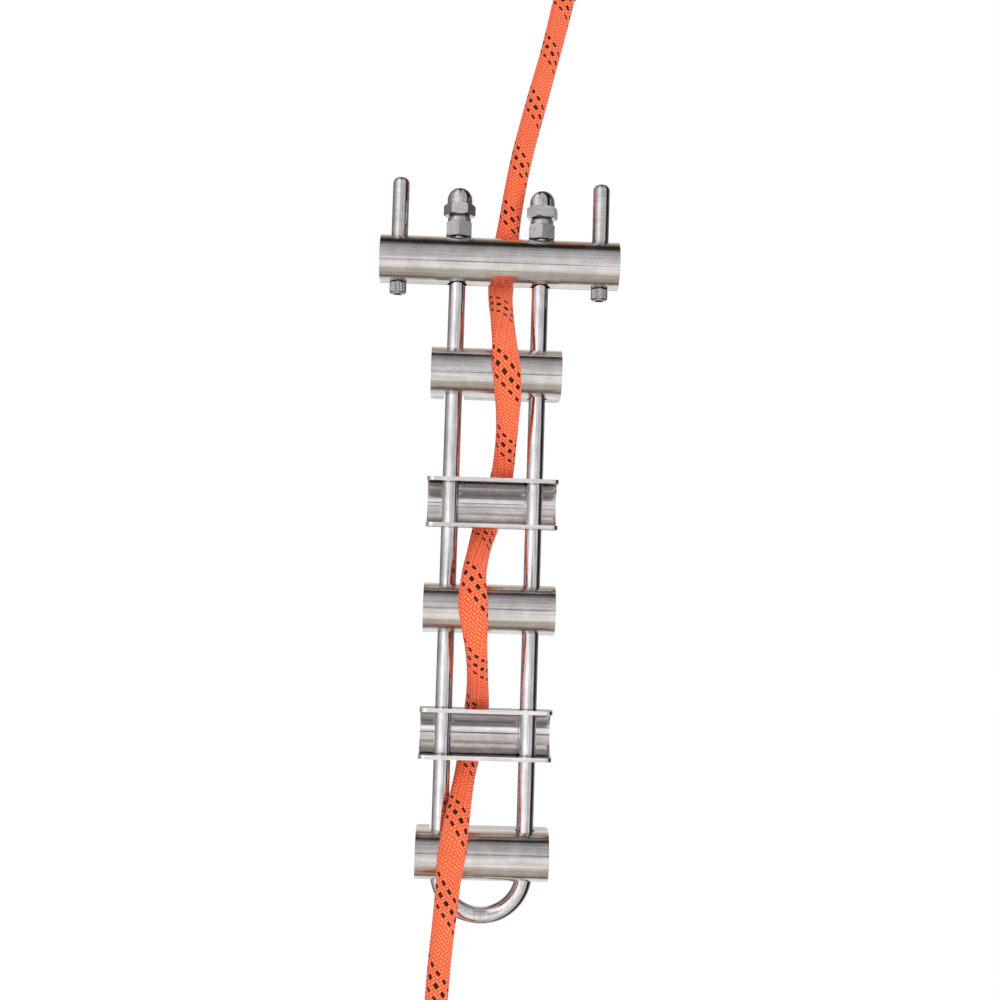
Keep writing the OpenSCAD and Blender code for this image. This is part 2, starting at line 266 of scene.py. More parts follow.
class Paint:
    """Builds the node tree of one material or world."""

    def __init__(self, owner):
        owner.use_nodes = True
        self.owner, self.tree = owner, owner.node_tree
        self.tree.nodes.clear()

    def node(self, kind, settings=None, inputs=(), out=0):
        """Adds any node: its settings first, then values or links for its sockets."""
        made = self.tree.nodes.new(kind)
        for name, value in (settings or {}).items():
            if name == "stops":
                self.stops(made.color_ramp, value)
            else:
                setattr(made, name, value)
        pairs = inputs.items() if isinstance(inputs, dict) else enumerate(inputs)
        for key, value in pairs:
            socket = made.inputs[key]
            if isinstance(value, Value):
                self.tree.links.new(value.socket, socket)
            elif hasattr(socket.default_value, "__len__") and len(value) == 3 \
                    and len(socket.default_value) == 4:
                socket.default_value = (*value, 1)
            else:
                socket.default_value = value
        return Value(self, made.outputs[out]) if len(made.outputs) else made

    @staticmethod
    def stops(ramp, stops):
        while len(ramp.elements) < len(stops):
            ramp.elements.new(1.0)
        for element, (at, colour) in zip(ramp.elements, sorted(stops)):
            element.position = at
            element.color = (*colour, 1) if hasattr(colour, "__len__") else (colour,) * 3 + (1,)

    def mix(self, share, first, second):
        """A colour between first, at share 0, and second, at share 1."""
        return self.node("ShaderNodeMix", {"data_type": "RGBA"},
                         {0: share, 6: first, 7: second}, out=2)

    def darken(self, colour, share):
        """The colour times a number."""
        return self.node("ShaderNodeVectorMath", {"operation": "SCALE"},
                         {0: colour, 3: share})

    def stretch(self, vector, scale):
        return self.node("ShaderNodeVectorMath", {"operation": "MULTIPLY"}, [vector, scale])

    def parts(self, vector):
        first = self.node("ShaderNodeSeparateXYZ", {}, [vector])
        return [Value(self, first.socket.node.outputs[i]) for i in range(3)]

    def noise(self, vector, scale, detail=3.0, roughness=0.55):
        return self.node("ShaderNodeTexNoise", {}, {
            "Vector": vector, "Scale": scale, "Detail": detail, "Roughness": roughness})

    def bump(self, height, distance, strength=1.0, normal=None):
        sockets = {"Height": height, "Distance": distance, "Strength": strength}
        if normal is not None:
            sockets["Normal"] = normal
        return self.node("ShaderNodeBump", {}, sockets)

    def surface(self, **sockets):
        """The Principled shader; an underscore in a name stands for a space."""
        named = {key.replace("_", " "): value for key, value in sockets.items()}
        shader = self.node("ShaderNodeBsdfPrincipled", {}, named)
        self.node("ShaderNodeOutputMaterial", {}, {"Surface": shader})
        return self.owner


def new_paint(name):
    return Paint(bpy.data.materials.new(name))


# ---------------------------------------------------------------- shapes

HELIX = 0.038  # length of rope in which a strand goes once round
TRACER_FAT = 0.36  # how much wider the middle tracer is
TRACER_REACH = 1.1  # strands to each side that make room for it
SIDE_TRACER = 3  # strands from the middle tracer to the one at each side


def unit(v):
    return v / np.linalg.norm(v, axis=-1, keepdims=True)


def smooth_route(points, samples):
    """Points along a smooth curve through the given ones: on each span a cubic whose
    directions at both ends are the chords' directions, each weighted by the other
    chord's length."""
    chord = np.diff(points, axis=0)
    size = np.linalg.norm(chord, axis=1, keepdims=True)
    way = chord / size
    inner = unit(way[:-1] * size[1:] + way[1:] * size[:-1])
    heading = np.vstack([way[:1], inner, way[-1:]])
    t = np.linspace(0, 1, samples, endpoint=False)[None, :, None]
    p0, p1 = points[:-1, None], points[1:, None]
    m0, m1 = size[:, None] * heading[:-1, None], size[:, None] * heading[1:, None]
    spans = ((2 * t**3 - 3 * t**2 + 1) * p0 + (t**3 - 2 * t**2 + t) * m0
             + (3 * t**2 - 2 * t**3) * p1 + (t**3 - t**2) * m1)
    return np.vstack([spans.reshape(-1, 3), points[-1:]])


def along(points):
    """Distance along the curve at each of its points."""
    steps = np.linalg.norm(np.diff(points, axis=0), axis=1)
    return np.concatenate([[0], np.cumsum(steps)])


def at_distance(points, s, wanted):
    return np.stack([np.interp(wanted, s, points[:, i]) for i in range(3)], axis=1)


def weave_height(a, b):
    """Height of a braid where each strand passes over two and under two. Strands of one
    family lie along whole values of a, the others along whole values of b. A strand
    rises and dips as a cosine along its way and is round across it, and the higher of
    the two families shows."""
    strand_a, strand_b = np.floor(a), np.floor(b)
    first = np.cos(pi / 2 * (np.mod(b + strand_a, 4) - 1)) - 0.9 * (2 * (a - strand_a) - 1)**2
    second = -np.cos(pi / 2 * (np.mod(a + strand_b, 4) - 1)) - 0.9 * (2 * (b - strand_b) - 1)**2
    return np.maximum(first, second)


def fatten_tracer(a, strands):
    """Widens the strand whose middle is at 0.5 and narrows its neighbours."""
    d = np.mod(a - 0.5 + strands / 2, strands) - strands / 2
    return a - TRACER_FAT * d * np.exp(-(d / TRACER_REACH)**2)


def sweep(centres, side, face, wide, thick, twist, helix, strands, relief):
    """Rings along a path. Each is an ellipse of half-widths thick along face and wide
    along side, evenly divided by arc length, and raised by the braid's weave along its
    own normal."""
    columns = 4 * strands
    around = np.linspace(0, 1, columns, endpoint=False)[None, :]
    uneven = ((wide**2 - thick**2) / (wide**2 + thick**2))[:, None]
    angle = 2 * pi * around - uneven / 3 * np.sin(4 * pi * around)
    c, s = np.cos(angle), np.sin(angle)
    a = fatten_tracer(strands * (around + twist[:, None] + helix[:, None]), strands)
    b = strands * (around + twist[:, None] - helix[:, None])
    height = relief * (weave_height(a, b) - 0.35)
    out = np.stack([c * wide[:, None], s * thick[:, None]], axis=-1)
    out /= np.linalg.norm(out, axis=-1, keepdims=True)
    f = c * thick[:, None] + height * out[..., 0]
    g = s * wide[:, None] + height * out[..., 1]
    return centres[:, None] + f[..., None] * face[:, None] + g[..., None] * side[:, None]


def grid_normals(grid):
    """Outward normals of a grid that is closed round its columns."""
    round_way = np.roll(grid, -1, axis=1) - np.roll(grid, 1, axis=1)
    long_way = np.gradient(grid, axis=0)
    return unit(np.cross(round_way, long_way))


def skin(name, grid, lengthways, normals, material, twist=None):
    """A closed mesh from rings: quads between the rings and one face over each end. Its
    map is turns round, with the ring's own twist added, by lengthways."""
    rows, columns = grid.shape[:2]
    row, column = np.meshgrid(np.arange(rows - 1), np.arange(columns), indexing="ij")
    after = (column + 1) % columns
    quads = np.stack([row * columns + column, row * columns + after,
                      (row + 1) * columns + after, (row + 1) * columns + column], axis=-1)
    ends = np.concatenate([np.arange(columns)[::-1], (rows - 1) * columns + np.arange(columns)])
    corners = np.concatenate([quads.ravel(), ends])
    n_quads = (rows - 1) * columns
    starts = np.concatenate([np.arange(n_quads) * 4, n_quads * 4 + np.array([0, columns])])
    sizes = np.concatenate([np.full(n_quads, 4), [columns, columns]])

    mesh = bpy.data.meshes.new(name)
    mesh.vertices.add(rows * columns)
    mesh.vertices.foreach_set("co", grid.astype(np.float32).ravel())
    mesh.loops.add(len(corners))
    mesh.loops.foreach_set("vertex_index", corners.astype(np.int32))
    mesh.polygons.add(len(starts))
    mesh.polygons.foreach_set("loop_start", starts.astype(np.int32))
    mesh.polygons.foreach_set("loop_total", sizes.astype(np.int32))
    mesh.update(calc_edges=True)
    mesh.validate()

    around = np.arange(columns + 1) / columns
    twist = np.zeros(rows) if twist is None else twist
    u = np.stack([around[column] + twist[row], around[column + 1] + twist[row],
                  around[column + 1] + twist[row + 1],
                  around[column] + twist[row + 1]], axis=-1)
    v = np.stack([lengthways[row], lengthways[row], lengthways[row + 1],
                  lengthways[row + 1]], axis=-1)
    side_uv = np.stack([u, v], axis=-1).reshape(-1, 2)
    end_uv = np.concatenate([
        np.stack([around[:-1][::-1], np.full(columns, lengthways[0])], axis=-1),
        np.stack([around[:-1], np.full(columns, lengthways[-1])], axis=-1)])
    layer = mesh.uv_layers.new(name="UVMap")
    layer.data.foreach_set("uv", np.concatenate([side_uv, end_uv]).astype(np.float32).ravel())
    mesh.polygons.foreach_set("use_smooth", np.concatenate(
        [np.ones(n_quads, bool), np.zeros(2, bool)]))
    mesh.normals_split_custom_set_from_vertices(normals.reshape(-1, 3).tolist())
    piece = bpy.data.objects.new(name, mesh)
    bpy.context.scene.collection.objects.link(piece)
    mesh.materials.append(material)
    return piece


# ---------------------------------------------------------------- finishes

def rope_sheath(settings):
    """A braid of round strands, each over two and under two, with painted shade in the furrows
    between them, a painted highlight on their crests and three dark tracer strands that
    pass under the others."""
    p = new_paint("rope_sheath")
    n = settings.strands
    across, turns, _ = p.parts(p.node("ShaderNodeTexCoord", out="UV"))
    plain_a = (across + turns) * n
    d = p.node("ShaderNodeMath", {"operation": "WRAP"}, [plain_a - 0.5, n / 2, -n / 2])
    a = plain_a - d * ((d / TRACER_REACH).square() * -1).exponent() * TRACER_FAT
    b = (across - turns) * n
    strand_a, strand_b = a.floor(), b.floor()
    along_a = (((b + strand_a) % 4 - 1) * (pi / 2)).cosine()
    along_b = (((a + strand_b) % 4 - 1) * (pi / 2)).cosine() * -1
    across_a = ((a - strand_a) * 2 - 1).square()
    across_b = ((b - strand_b) * 2 - 1).square()
    height_a = along_a - across_a * 0.9
    height_b = along_b - across_b * 0.9
    over = height_a > height_b
    height = height_a.most(height_b)

    # Painted shade: the furrows run down both sides of the upper strand and where it dips;
    # yarns give a fine grain
    edge = across_a * over + across_b * (1 - over)
    furrow_shade = edge.rise(0.30, 1.0).most((1 - height.rise(-0.35, 0.25)) * 0.8)
    yarns_a = ((a - strand_a) * (2 * pi * 3)).cosine()
    yarns_b = ((b - strand_b) * (2 * pi * 3)).cosine()
    yarns = yarns_a * over + yarns_b * (1 - over)
    place = p.node("ShaderNodeTexCoord", out="Object")
    mottle = p.noise(place, 900, 2)
    patches = p.noise(place, 45, 2)

    row = p.node("ShaderNodeMath", {"operation": "WRAP"}, [strand_a + 0.5, n / 2, -n / 2])
    middle = row.distance(0.5) < 0.25
    upper = row.distance(0.5 - SIDE_TRACER) < 0.25
    lower = (row.distance(0.5 + SIDE_TRACER) < 0.25) * (across_a < 0.62)
    dark = (middle + upper + lower).least(1) * over

    base = p.mix(patches.rise(0.3, 0.7), settings.sheath,
                 tuple(c * k for c, k in zip(settings.sheath, (0.94, 0.82, 0.75))))
    # Painted shade darkens the furrows between the strands and where they dip
    base = p.mix(furrow_shade * 0.95, base, settings.furrow_shade)
    # Painted highlight: the crests of the strands are lightened
    base = p.mix((1 - edge.rise(0.05, 0.45)) * height.rise(0.2, 0.7) * 0.8, base,
                 settings.crest_highlight)
    base = p.darken(base, 0.94 + mottle * 0.12)
    tracer = p.mix(mottle.rise(0.45, 0.75), settings.tracer,
                   tuple(c * 3.2 for c in settings.tracer))
    colour = p.mix(dark, base, tracer)
    bumped = p.bump(height + yarns * 0.10 + mottle * 0.15, 0.00034, 1.0)
    return p.surface(Base_Color=colour, Roughness=0.68 + furrow_shade * 0.2, Normal=bumped,
                     Specular_IOR_Level=0.28, Sheen_Weight=0.12, Sheen_Roughness=0.4)


def sleeve_rubber(settings):
    """Black shrink tube: faint creases round it and a dull sheen that wears to grey."""
    p = new_paint("sleeve_rubber")
    place = p.node("ShaderNodeTexCoord", out="Object")
    creases = p.noise(p.stretch(place, (120, 120, 700)), 1, 4)
    dust = p.noise(place, 260, 5, 0.7)
    colour = p.mix(dust.rise(0.52, 0.75) * 0.5, settings.sleeve,
                   tuple(c * 3.5 for c in settings.sleeve))
    return p.surface(Base_Color=colour, Roughness=0.42 + dust * 0.2,
                     Normal=p.bump(creases + dust * 0.3, 0.0003, 0.6))


# Painted light and shade inside a channel: how bright its colour is made, by the upward part of
# its normal, with a thin dark line just above level
INSIDE_PAINTED_SHADING = [
    (-1, 0.9), (-0.62, 0.9), (-0.55, 1.15), (-0.48, 0.85), (-0.22, 0.8), (-0.16, 1.2),
    (0.03, 1.25), (0.06, 0.50), (0.10, 0.55), (0.14, 1.25), (0.70, 1.2), (0.80, 0.8),
    (1, 0.8),
]


def brushed(name, colour, roughness, grain, wear, fine=0.00002, inside=False,
            lean=None, shade=1.0):
    """Steel with a grain: noise drawn out along one axis streaks its colour, roughness
    and bump, over soft blotches. With inside, the hollow that faces the front gets painted
    light and shade, banded by the upward part of its normal. lean tips the normals and
    shade dims the colour."""
    p = new_paint(name)
    place = p.node("ShaderNodeTexCoord", out="Object")
    streak = p.noise(p.stretch(place, grain), 1, 5, 0.6)
    hair = p.noise(p.stretch(place, tuple(g * 3.1 for g in grain)), 1, 2)
    blotch = p.noise(place, 95, 4, 0.62)
    stain = p.noise(p.stretch(place, tuple(g * 0.12 + 20 for g in grain)), 1, 4)
    light = tuple(min(1.0, c * 1.07 * shade) for c in colour)
    low = tuple(c * k * shade for c, k in zip(colour, (0.80, 0.78, 0.755)))
    tone = p.mix((streak * 0.6 + blotch * 0.4).rise(0.40, 0.60), low, light)
    tone = p.mix(stain.rise(0.52, 0.72) * wear * 0.55, tone,
                 tuple(c * k * shade for c, k in zip(colour, (0.66, 0.60, 0.54))))
    rough = roughness + (streak - 0.5) * 0.14 + blotch.rise(0.5, 0.8) * 0.08 * wear
    if inside:
        # Painted light and shade: faces that turn towards the front are banded brighter and
        # darker by the upward part of their normal
        _, ny, nz = p.parts(p.node("ShaderNodeNewGeometry", out="True Normal"))
        painted_bands = p.node("ShaderNodeValToRGB", {
            "stops": [(at * 0.5 + 0.5, level) for at, level in INSIDE_PAINTED_SHADING]}, [nz * 0.5 + 0.5])
        painted_bands = p.mix(ny < 0.02, (1, 1, 1), painted_bands)
        tone = p.node("ShaderNodeVectorMath", {"operation": "MULTIPLY"}, [tone, painted_bands])
    normal = p.bump(streak + hair * 0.5, fine, 1.0)
    normal = p.bump(blotch, fine * 3, 0.5, normal)
    if lean:
        normal = p.node("ShaderNodeVectorMath", {"operation": "ADD"}, [normal, lean])
        normal = p.node("ShaderNodeVectorMath", {"operation": "NORMALIZE"}, [normal])
    return p.surface(Base_Color=tone, Metallic=1.0, Roughness=rough, Normal=normal)


def nylon(settings):
    """White nylon with a faint mottle."""
    p = new_paint("insert_nylon")
    place = p.node("ShaderNodeTexCoord", out="Object")
    mottle = p.noise(place, 700, 3)
    colour = p.mix(mottle.rise(0.4, 0.7), settings.nylon,
                   tuple(c * 0.88 for c in settings.nylon))
    return p.surface(Base_Color=colour, Roughness=0.45 + mottle * 0.15,
                     Normal=p.bump(mottle, 0.00003, 0.5))


def dress(material, *nodes):
    for name in nodes:
        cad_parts[name].material_slots[0].material = material


# ---------------------------------------------------------------- operators

# The tent's colours by angle in degrees: over the top from below, through the front at 0,
# to above and behind; and round the vertical from behind, by the left, front and right
TENT_OVER = [
    (-180, (0.25, 0.24, 0.24)), (-166, (0.95, 0.95, 0.95)), (-114, (0.90, 0.88, 0.85)),
    (-108, (0.30, 0.26, 0.23)), (-103, (0.10, 0.07, 0.06)), (-97, (0.24, 0.19, 0.16)),
    (-90, (0.46, 0.40, 0.34)), (-72, (0.54, 0.49, 0.43)), (-54, (0.62, 0.57, 0.51)),
    (-45, (0.97, 0.93, 0.90)), (-15, (0.98, 0.96, 0.96)), (-6, (0.90, 0.88, 0.89)),
    (2, (0.82, 0.80, 0.82)), (12, (0.72, 0.70, 0.72)), (30, (0.58, 0.56, 0.58)),
    (50, (0.45, 0.43, 0.45)), (63, (0.31, 0.29, 0.30)), (71, (0.10, 0.09, 0.09)),
    (77, (0.012, 0.009, 0.010)), (90, (0.012, 0.009, 0.008)), (97, (0.05, 0.033, 0.027)),
    (105, (0.17, 0.12, 0.09)), (117, (0.38, 0.29, 0.22)), (138, (0.78, 0.68, 0.57)),
    (166, (0.9, 0.88, 0.85)), (180, (0.25, 0.24, 0.24)),
]
TENT_ROUND = [
    (-180, (0.30, 0.28, 0.28)), (-158, (0.15, 0.14, 0.13)), (-130, (0.20, 0.19, 0.19)),
    (-100, (0.38, 0.37, 0.39)), (-76, (0.56, 0.54, 0.58)), (-60, (0.80, 0.78, 0.82)),
    (-48, (1.18, 1.17, 1.2)), (-2, (1.22, 1.2, 1.22)), (11, (0.90, 0.88, 0.90)),
    (24, (0.60, 0.58, 0.60)), (38, (0.54, 0.52, 0.54)), (50, (0.72, 0.70, 0.72)),
    (61, (0.58, 0.56, 0.58)), (68, (0.07, 0.065, 0.07)), (74, (0.012, 0.010, 0.012)),
    (96, (0.012, 0.010, 0.010)), (112, (0.09, 0.085, 0.09)), (132, (0.26, 0.25, 0.26)),
    (150, (0.38, 0.37, 0.38)), (165, (0.42, 0.40, 0.41)), (174, (0.42, 0.40, 0.40)),
    (180, (0.30, 0.28, 0.28)),
]


def turn_stops(table):
    return [(angle / 360 + 0.5, colour) for angle, colour in table]


class RACK_OT_stage(bpy.types.Operator):
    """Camera, soft lamps, pale surroundings and the floor"""
    bl_idname = "rack.stage"
    bl_label = "Stage"

    def execute(self, context):
        s = context.scene.rack_stage
        self.camera(context, s)
        self.surroundings(context, s)
        self.floor(s)
        self.strip(s)
        self.lamps(context, s)
        context.scene.view_settings.view_transform = "Standard"
        return {"FINISHED"}

    def camera(self, context, s):
        forward = np.array((sin(s.yaw) * cos(s.pitch), cos(s.yaw) * cos(s.pitch), sin(s.pitch)))
        right = np.array((cos(s.yaw), -sin(s.yaw), 0))
        up = np.cross(right, forward)
        turned = right * cos(s.roll) + up * sin(s.roll)
        raised = up * cos(s.roll) - right * sin(s.roll)
        data = bpy.data.cameras.new("camera")
        data.lens, data.sensor_width = s.lens, 36
        data.clip_start = 0.01
        data.dof.use_dof = False
        camera = bpy.data.objects.new("camera", data)
        matrix = Matrix.Identity(4)
        for i, axis in enumerate((turned, raised, -forward, s.camera_place)):
            matrix.col[i][:3] = axis
        camera.matrix_world = matrix
        context.scene.collection.objects.link(camera)
        context.scene.camera = camera

    def surroundings(self, context, s):
        """White to the camera. Steel sees a light tent. Round the X axis it goes from
        white behind, over a black strip overhead and a grey front, to a bright table
        and a tan one below. Round the vertical it is grey at the left, bright in front,
        black at the right and grey behind."""
        world = bpy.data.worlds.new("surroundings")
        context.scene.world = world
        p = Paint(world)
        x, y, z = p.parts(p.node("ShaderNodeTexCoord", out="Generated"))
        over = z.maths("ARCTAN2", z, y * -1) / (2 * pi) + 0.5
        round_ = z.maths("ARCTAN2", x, y * -1) / (2 * pi) + 0.5
        over = p.node("ShaderNodeValToRGB", {"stops": turn_stops(TENT_OVER)}, [over])
        round_ = p.node("ShaderNodeValToRGB", {"stops": turn_stops(TENT_ROUND)}, [round_])
        tent = p.mix(x.distance(0).rise(0.12, 0.26), over, round_)
        rays = p.node("ShaderNodeLightPath")
        ray = {name: Value(p, rays.socket.node.outputs[name])
               for name in ("Is Camera Ray", "Is Glossy Ray", "Is Transmission Ray")}
        sky = p.mix(ray["Is Glossy Ray"], (s.sky,) * 3, tent)
        seen = ray["Is Camera Ray"].most(ray["Is Transmission Ray"])
        sky = p.mix(seen, sky, (1, 1, 1))
        light = p.node("ShaderNodeBackground", {}, {"Color": sky, "Strength": 1.0})
        p.node("ShaderNodeOutputWorld", {}, {"Surface": light})

    def floor(self, s):
        """A flat disc of rings round the rack. It is nearly white to the camera and
        keeps a soft shadow; polished steel sees the tent through it."""
        sides = 96
        turn = np.linspace(0, 2 * pi, sides, endpoint=False)
        radius = np.array([0.25, 0.6, 1.2, 2.4, 5.0])
        rim = radius[:, None, None] * np.stack([np.cos(turn), np.sin(turn), 0 * turn], -1)
        points = np.vstack([[[0, 0, 0]], rim.reshape(-1, 3)]) + (0, 0, s.floor_z)
        k = np.arange(sides)
        after = (k + 1) % sides
        faces = [[0, 1 + i, 1 + (i + 1) % sides] for i in k.tolist()]
        for ring in range(len(radius) - 1):
            low, high = 1 + ring * sides, 1 + (ring + 1) * sides
            faces += np.stack([low + k, high + k, high + after, low + after], -1).tolist()
        mesh = bpy.data.meshes.new("floor")
        mesh.from_pydata(points.tolist(), [], faces)
        floor = bpy.data.objects.new("floor", mesh)
        bpy.context.scene.collection.objects.link(floor)
        p = new_paint("floor_pale")
        rays = p.node("ShaderNodeLightPath").socket.node
        matt = p.node("ShaderNodeBsdfDiffuse", {}, {"Color": tuple(s.floor_colour)})
        glow = p.node("ShaderNodeEmission", {}, {"Color": (1, 1, 1), "Strength": 1.06})
        clear = p.node("ShaderNodeBsdfTransparent")
        seen = Value(p, rays.outputs["Is Camera Ray"]).most(
            Value(p, rays.outputs["Is Transmission Ray"]))
        body = p.node("ShaderNodeMixShader", {}, [seen * 0.26 + 0.6, matt, glow])
        body = p.node("ShaderNodeMixShader", {},
                      [Value(p, rays.outputs["Is Glossy Ray"]), body, clear])
        p.node("ShaderNodeOutputMaterial", {}, {"Surface": body})
        mesh.materials.append(p.owner)

    def strip(self, s):
        """A dark board at the camera's height, which only mirrors see: it draws the
        fine dark line along the middle of each bar."""
        columns, rows = 23, 3
        across, up = np.meshgrid(np.linspace(-0.16, 0.16, columns),
                                 np.linspace(-0.034, 0.034, rows), indexing="ij")
        grid = np.stack([across + s.camera_place[0], -0.86 + 0.05 * across**2,
                         up + s.camera_place[2]], axis=-1)
        i, j = np.meshgrid(np.arange(columns - 1) * rows, np.arange(rows - 1), indexing="ij")
        corner = (i + j).ravel()
        faces = np.stack([corner, corner + 1, corner + rows + 1, corner + rows], -1)
        mesh = bpy.data.meshes.new("strip")
        mesh.from_pydata(grid.reshape(-1, 3).tolist(), [], faces.tolist())
        strip = bpy.data.objects.new("strip", mesh)
        bpy.context.scene.collection.objects.link(strip)
        for rays in ("camera", "diffuse", "transmission", "volume_scatter", "shadow"):
            setattr(strip, "visible_" + rays, False)
        p = new_paint("strip_dark")
        dark = p.node("ShaderNodeEmission", {}, {"Color": (0.10, 0.095, 0.10), "Strength": 1.0})
        p.node("ShaderNodeOutputMaterial", {}, {"Surface": dark})
        mesh.materials.append(p.owner)

    def lamps(self, context, s):
        """Large soft lamps: a key above the front left, and a weaker fill at the right.
        Steel doesn't mirror them."""
        for name, place, size, share in (
                ("key", (-0.6, -1.5, 0.65), 1.2, 0.7), ("fill", (0.4, -1.3, -0.06), 0.5, 1.5)):
            data = bpy.data.lights.new(name, "AREA")
            data.energy, data.size = s.key_power * share * 2, size
            lamp = bpy.data.objects.new(name, data)
            aim = unit(np.array((0, 0, 0.2)) - np.array(place))
            side = unit(np.cross(aim, (0, 0, 1)))
            matrix = Matrix.Identity(4)
            for i, axis in enumerate((side, np.cross(side, aim), -aim, place)):
                matrix.col[i][:3] = axis
            lamp.matrix_world = matrix
            lamp.visible_glossy = False
            context.scene.collection.objects.link(lamp)


class RopePath:
    """The rope's centreline, section and helix, one row for each ring."""

    def __init__(self, settings):
        fine = smooth_route(ROUTE, ROUTE_STEPS)
        s = along(fine)
        hang = s[SLEEVE_FOOT * ROUTE_STEPS]
        lower = s >= hang
        marks = np.interp(-np.array(TRACER_TURNS), -fine[lower, 2], s[lower])
        slip = np.arange(len(marks)) - marks / HELIX
        step = HELIX / (4 * settings.strands)
        self.s = np.linspace(s[0], s[-1], int(s[-1] / step) + 1)
        self.twist = np.mean([np.interp(self.s + d, marks, slip)
                              for d in np.linspace(-0.01, 0.01, 9)], axis=0)
        self.helix = self.s / HELIX
        centre = at_distance(fine, s, self.s)
        heading = unit(np.stack([np.gradient(centre[:, i], self.s) for i in range(3)], axis=1))
        self.heading = heading
        self.face = unit(np.cross(heading, (1.0, 0, 0)))
        self.side = np.cross(heading, self.face)
        hanging = self.s >= hang
        self.z = z = np.where(hanging, centre[:, 2], NO_CONTACT)
        press = sum(np.exp(-((z - h) / 0.014)**4) for h, _, _ in CONTACTS)
        toward = sum(side * np.exp(-((z - h) / 0.014)**4) for h, _, side in CONTACTS)
        r = settings.diameter / 2
        reach = np.linspace(-0.004, 0.004, 9)
        self.wide, shift = (
            np.mean([np.interp(z + d, SPREAD[:, 0], SPREAD[:, i]) for d in reach], axis=0)
            for i in (1, 2))
        self.thick = r * (1.0 - 0.13 * press)
        self.centre = centre + (0.0013 * toward)[:, None] * self.face
        self.centre[:, 0] += shift

    def row_at(self, height):
        return int(np.argmin(np.abs(self.z - height)))


class RACK_OT_rope(bpy.types.Operator):
    """The braided rope, in pieces that end at the bars and half way between them"""
    bl_idname = "rack.rope"
    bl_label = "Rope"

    def execute(self, context):
        settings = context.scene.rack_rope
        path = RopePath(settings)
        n = settings.strands
        grid = sweep(path.centre, path.side, path.face, path.wide, path.thick,
                     path.twist, path.helix, n, settings.relief)
        normals = grid_normals(grid)
        sheath = rope_sheath(settings)

        stretches = [("rope_load_strand", 0, path.row_at(CONTACTS[0][0]), CONTACTS[0],
                      LOAD_STILL)]
        for i, gap in enumerate(GAPS):
            above, below = CONTACTS[i], CONTACTS[i + 1]
            mid = path.row_at(gap)
            number = i + 2
            stretches += [
                (f"rope_below_bar_{number - 1}", path.row_at(above[0]), mid, above, gap),
                (f"rope_above_bar_{number}", mid, path.row_at(below[0]), below, gap)]
        stretches.append(("rope_brake_strand", path.row_at(CONTACTS[-1][0]), len(path.s) - 1,
                          CONTACTS[-1], BRAKE_STILL))
        pieces = {}
        for name, low, high, (height, body, _), still in stretches:
            rows = slice(low, high + 1)
            piece = skin(name, grid[rows], path.helix[rows], normals[rows], sheath,
                         path.twist[rows])
            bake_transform(piece)
            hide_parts("rope")
            pieces[name] = (piece, rows)

        for name, end, far_end, riders in (
                ("rope_load_strand", -1, "fitting", ["rope_eye_sleeve_tube"]),
                ("rope_brake_strand", 0, "knot", ["stopper_knot"])):
            piece, rows = pieces[name]
            points = path.centre[rows]
            points[::4].tolist() + [points[-1].tolist()]
        return {"FINISHED"}


class RACK_OT_sleeve(bpy.types.Operator):
    """The black shrink tube that binds the rope's eye"""
    bl_idname = "rack.sleeve"
    bl_label = "Eye sleeve"

    def execute(self, context):
        """Rings along the leaning axis. Each ring is the outline of two strands side by
        side, filled out at the waist, with shallow creases and ends that close in."""
        lean_x, lean_y = (radians(a) for a in SLEEVE_LEAN)
        turn_x = np.array([[1, 0, 0], [0, cos(lean_x), -sin(lean_x)],
                           [0, sin(lean_x), cos(lean_x)]])
        turn_y = np.array([[cos(lean_y), 0, sin(lean_y)], [0, 1, 0],
                           [-sin(lean_y), 0, cos(lean_y)]])
        length, foot, half_gap, r = 0.046, 0.0045, 0.0065, 0.0074
        angle = np.linspace(0, 2 * pi, 128, endpoint=False)
        c, s = np.abs(np.cos(angle)), np.abs(np.sin(angle))
        lobes = half_gap * s + np.sqrt(r**2 - (half_gap * c)**2)
        flats = np.minimum(0.0064 / np.maximum(c, 0.1), 0.0078)
        outline = (lobes**14 + flats**14)**(1 / 14)
        share = np.linspace(0, 1, 150)
        z = foot + share * (length - foot)
        ends = np.clip(np.minimum(share, 1 - share) * length / 0.0016, 0, 1)
        close = 0.84 + 0.16 * np.sqrt(1 - (1 - ends)**2)
        rng = np.random.default_rng(5)
        crease = sum(rng.uniform(0.3, 1) * np.sin(2 * pi * (k * share[:, None] * 2.3
                     + rng.uniform() + rng.integers(-2, 3) * angle[None] / (2 * pi)))
                     for k in range(2, 11)) * 0.00003
        lip = 0.00035 * np.exp(-((np.minimum(share, 1 - share) * length - 0.002) / 0.0009)**2)
        radius = outline[None] * close[:, None] + crease + lip[:, None]
        local = np.stack([radius * np.cos(angle), half_gap + radius * np.sin(angle),
                          np.broadcast_to(z[:, None], radius.shape)], axis=-1)
        grid = local @ (turn_y @ turn_x).T + SLEEVE_BASE
        piece = skin("rope_eye_sleeve_tube", grid, share, grid_normals(grid),
                     sleeve_rubber(context.scene.rack_rope))
        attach(piece, "root")
        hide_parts("rope_eye_sleeve")
        return {"FINISHED"}


